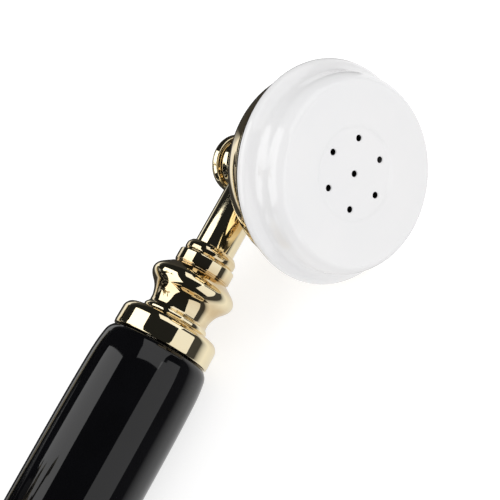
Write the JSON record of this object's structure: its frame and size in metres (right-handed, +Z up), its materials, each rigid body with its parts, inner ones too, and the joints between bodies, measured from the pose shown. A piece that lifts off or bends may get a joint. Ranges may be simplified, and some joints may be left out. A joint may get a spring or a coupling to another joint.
{
  "type": "french-style cradle telephone",
  "caption": "Turned brass and black cradle telephone with a tilted rotary dial, its slender handset with white receiver caps lying beside the bell-shaped base.",
  "frame": {"origin": "middle of the underside of the base's felt pad", "axes": "+Z up, dial faces -Y, the handset lies along Y on the +X side with its receiver at +Y"},
  "size_m": [0.2564, 0.255, 0.1565],
  "materials": {
    "brass": "polished, lacquered",
    "gear_brass": "satin",
    "black_gloss": "polished",
    "black_enamel": "gloss enamel",
    "white_gloss": "polished",
    "white_enamel": "gloss enamel",
    "steel": "plated",
    "copper": "varnished copper wire",
    "rubber": "matt",
    "felt": "pressed felt",
    "phenolic": "moulded"
  },
  "bodies": {
    "base": {"felt_pad": "felt", "foot_ring": "brass", "casing": "black_enamel", "line_cord_bush": "rubber", "handset_cord_bush": "rubber", "base_plate": "steel", "neck_ring": "brass", "column": "brass", "cradle_bar": "brass", "cradle_fork_left": "brass", "cradle_fork_right": "brass", "hook_spring": "steel", "lever_stand": "steel", "switch_contacts": "phenolic", "dial_bezel": "brass", "number_plate": "white_enamel", "finger_stop": "brass", "dial_frame": "steel", "dial_spring": "steel", "gong_left": "gear_brass", "gong_right": "gear_brass", "ringer_frame": "steel", "ringer_coil_left": "copper", "ringer_coil_right": "copper", "condenser": "steel", "terminal_block": "phenolic", "plate_screw_1": "steel", "plate_screw_2": "steel", "plate_screw_3": "steel"},
    "handset": {"handset_grip": "black_gloss", "handset_tie_tube": "steel", "handset_leads": "copper", "ear_collar": "brass", "ear_baluster": "brass", "ear_stem": "brass", "ear_hub": "brass", "ear_cup": "brass", "ear_ring_nut": "steel", "ear_cap": "white_gloss", "ear_capsule": "steel", "mouth_collar": "brass", "mouth_baluster": "brass", "mouth_stem": "brass", "mouth_hub": "brass", "mouth_cup": "brass", "mouth_ring_nut": "steel", "mouth_cap": "white_gloss", "mouth_capsule": "steel", "ear_knob": "brass", "mouth_gland_nut": "brass", "mouth_cord_bush": "rubber"},
    "hook": {"hook_pad": "black_gloss", "hook_rod": "steel"},
    "hook_lever": {"hook_lever": "steel"},
    "dial": {"finger_wheel": "brass", "dial_centre": "brass", "dial_shaft": "steel", "dial_gear": "gear_brass"},
    "governor": {"governor": "steel"},
    "clapper": {"clapper": "gear_brass"}
  },
  "joints": [
    {"name": "handset_lift", "type": "slide", "parent": "base", "child": "handset", "axis": [0, 0, 1], "range_m": [0, 0.12]},
    {"name": "hook_travel", "type": "slide", "parent": "base", "child": "hook", "axis": [0, 0, -1], "range_m": [0, 0.005], "stiffness_N_per_m": 200, "springref_m": -0.005, "deforming": ["hook_spring"]},
    {"name": "lever_pivot", "type": "hinge", "parent": "base", "child": "hook_lever", "pos_m": [-0.028, 0, 0.0305], "axis": [0, 1, 0], "range_deg": [0, 10.4]},
    {"name": "dial_spin", "type": "hinge", "parent": "base", "child": "dial", "pos_m": [0, -0.046, 0.05], "axis": [0, 0.7431, -0.6691], "range_deg": [0, 314], "stiffness_Nm_per_rad": 0.02, "springref_deg": -28.65},
    {"name": "governor_spin", "type": "hinge", "parent": "base", "child": "governor", "pos_m": [0.02, -0.046, 0.05], "axis": [0, 0.7431, -0.6691], "range_deg": [-1260, 0]},
    {"name": "clapper_swing", "type": "hinge", "parent": "base", "child": "clapper", "pos_m": [0, 0.007, 0.0126], "axis": [0, 0, 1], "range_deg": [-9, 9], "stiffness_Nm_per_rad": 0.002}
  ],
  "couplings": [
    {"joint": "lever_pivot", "follows": "hook_travel", "rad_per_m": 35.9},
    {"joint": "governor_spin", "follows": "dial_spin", "ratio": -4}
  ]
}
